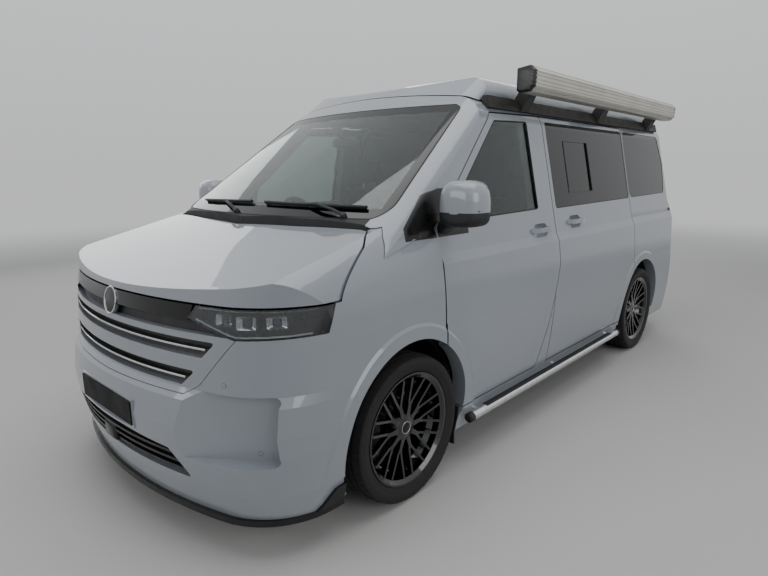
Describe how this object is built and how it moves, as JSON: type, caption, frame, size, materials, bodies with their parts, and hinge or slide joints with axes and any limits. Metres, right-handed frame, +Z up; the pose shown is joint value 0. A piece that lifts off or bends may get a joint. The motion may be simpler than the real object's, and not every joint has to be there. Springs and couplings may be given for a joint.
{
  "type": "camper van",
  "caption": "Camper van with an elevating roof, a side awning case, a sliding side door, opening front doors, bonnet and tailgate, and steered front wheels.",
  "frame": {"origin": "on the ground at the bottom centre of the bounding box", "axes": "nose to -Y, vehicle's left side to +X, +Z up"},
  "size_m": [2.372, 5.0463, 2.1214],
  "materials": {
    "alloy_black": "gloss black painted alloy",
    "aluminium": "anodised silver extrusion",
    "black_gloss": "gloss black",
    "black_matt": "grained black plastic",
    "board": "light laminated board",
    "body_paint": "gloss solid light grey paint",
    "cast_metal": "cast and machined metal",
    "chrome": "polished tube",
    "clear_glass": "laminated clear glass",
    "dark_steel": "black chassis coating",
    "grp_paint": "gloss light grey moulding",
    "lamp_clear": "clear lamp cover",
    "lamp_dark": "dark reflector moulding",
    "lamp_red": "dark red lens",
    "rubber": "matt black rubber",
    "seat_fabric": "dark woven cloth",
    "steel": "bare steel",
    "tinted_glass": "dark privacy glass",
    "trim_dark": "soft dark plastic",
    "tyre": "matt black rubber"
  },
  "bodies": {
    "van_body": {"left_side_panel": "body_paint", "right_side_panel": "body_paint", "roof_panel": "body_paint", "windscreen": "clear_glass", "side_windows": "tinted_glass", "sliding_door": "body_paint", "rear_lamps": "lamp_red", "rear_bumper": "body_paint", "front_wings": "body_paint", "front_bumper": "body_paint", "header_panel": "black_gloss", "grille": "black_gloss", "headlamps": "lamp_clear", "inner_panels": "black_matt", "cowl": "black_matt", "splitter": "black_gloss", "awning_case": "aluminium", "awning_caps": "black_matt", "awning_brackets": "dark_steel", "side_bars": "chrome", "mudflaps": "rubber", "arch_liners": "black_matt", "floor": "dark_steel", "bulkhead": "dark_steel", "chassis": "dark_steel", "front_suspension": "dark_steel", "rear_axle": "dark_steel", "engine": "cast_metal", "exhaust": "steel", "fuel_tank": "black_matt", "dashboard": "trim_dark", "front_seats": "seat_fabric", "rear_bench": "seat_fabric", "kitchen_unit": "board", "headlamp_housings": "lamp_dark", "rear_lamp_housings": "lamp_dark", "front_plate": "black_gloss"},
    "left_door": {"left_front_door": "body_paint", "left_door_glass": "clear_glass", "left_mirror": "body_paint"},
    "right_door": {"right_front_door": "body_paint", "right_door_glass": "clear_glass", "right_mirror": "body_paint"},
    "bonnet_lid": {"bonnet": "body_paint"},
    "tailgate_lid": {"tailgate": "body_paint", "tailgate_glass": "tinted_glass", "rear_plate": "black_gloss"},
    "roof_lid": {"pop_top": "grp_paint"},
    "left_steer_body": {"left_knuckle": "cast_metal"},
    "right_steer_body": {"right_knuckle": "cast_metal"},
    "front_left_roller": {"front_left_wheel": "alloy_black", "front_left_tyre": "tyre"},
    "front_right_roller": {"front_right_wheel": "alloy_black", "front_right_tyre": "tyre"},
    "rear_left_roller": {"rear_left_wheel": "alloy_black", "rear_left_tyre": "tyre"},
    "rear_right_roller": {"rear_right_wheel": "alloy_black", "rear_right_tyre": "tyre"},
    "hand_wheel": {"steering_wheel": "trim_dark"}
  },
  "joints": [
    {"name": "left_door_hinge", "type": "hinge", "parent": "van_body", "child": "left_door", "pos_m": [0.95, -1.356, 0.925], "axis": [0, 0, -1], "range_deg": [0, 65]},
    {"name": "right_door_hinge", "type": "hinge", "parent": "van_body", "child": "right_door", "pos_m": [-0.95, -1.356, 0.925], "axis": [0, 0, 1], "range_deg": [0, 65]},
    {"name": "bonnet_hinge", "type": "hinge", "parent": "van_body", "child": "bonnet_lid", "pos_m": [0, -1.5, 1.29], "axis": [-1, 0, 0], "range_deg": [0, 45]},
    {"name": "tailgate_hinge", "type": "hinge", "parent": "van_body", "child": "tailgate_lid", "pos_m": [0, 2.328, 1.93068], "axis": [1, 0, 0], "range_deg": [0, 85]},
    {"name": "roof_hinge", "type": "hinge", "parent": "van_body", "child": "roof_lid", "pos_m": [0, 2.251, 1.996], "axis": [-1, 0, 0], "range_deg": [0, 22]},
    {"name": "left_steering", "type": "hinge", "parent": "van_body", "child": "left_steer_body", "pos_m": [0.806, -1.535, 0.358], "axis": [0, 0, 1], "range_deg": [-34, 34]},
    {"name": "right_steering", "type": "hinge", "parent": "van_body", "child": "right_steer_body", "pos_m": [-0.806, -1.535, 0.358], "axis": [0, 0, 1], "range_deg": [-34, 34]},
    {"name": "hand_wheel_turn", "type": "hinge", "parent": "van_body", "child": "hand_wheel", "pos_m": [-0.42, -1.13, 1.14], "axis": [0, 0.8829, 0.4695], "range_deg": [-510, 510]},
    {"name": "front_left_roll", "type": "hinge", "parent": "left_steer_body", "child": "front_left_roller", "pos_m": [0.878, -1.535, 0.358], "axis": [1, 0, 0], "continuous": true},
    {"name": "front_right_roll", "type": "hinge", "parent": "right_steer_body", "child": "front_right_roller", "pos_m": [-0.878, -1.535, 0.358], "axis": [1, 0, 0], "continuous": true},
    {"name": "rear_left_roll", "type": "hinge", "parent": "van_body", "child": "rear_left_roller", "pos_m": [0.878, 1.565, 0.358], "axis": [1, 0, 0], "continuous": true},
    {"name": "rear_right_roll", "type": "hinge", "parent": "van_body", "child": "rear_right_roller", "pos_m": [-0.878, 1.565, 0.358], "axis": [1, 0, 0], "continuous": true}
  ],
  "couplings": [
    {"joint": "right_steering", "follows": "left_steering", "ratio": 1},
    {"joint": "hand_wheel_turn", "follows": "left_steering", "ratio": 15}
  ]
}
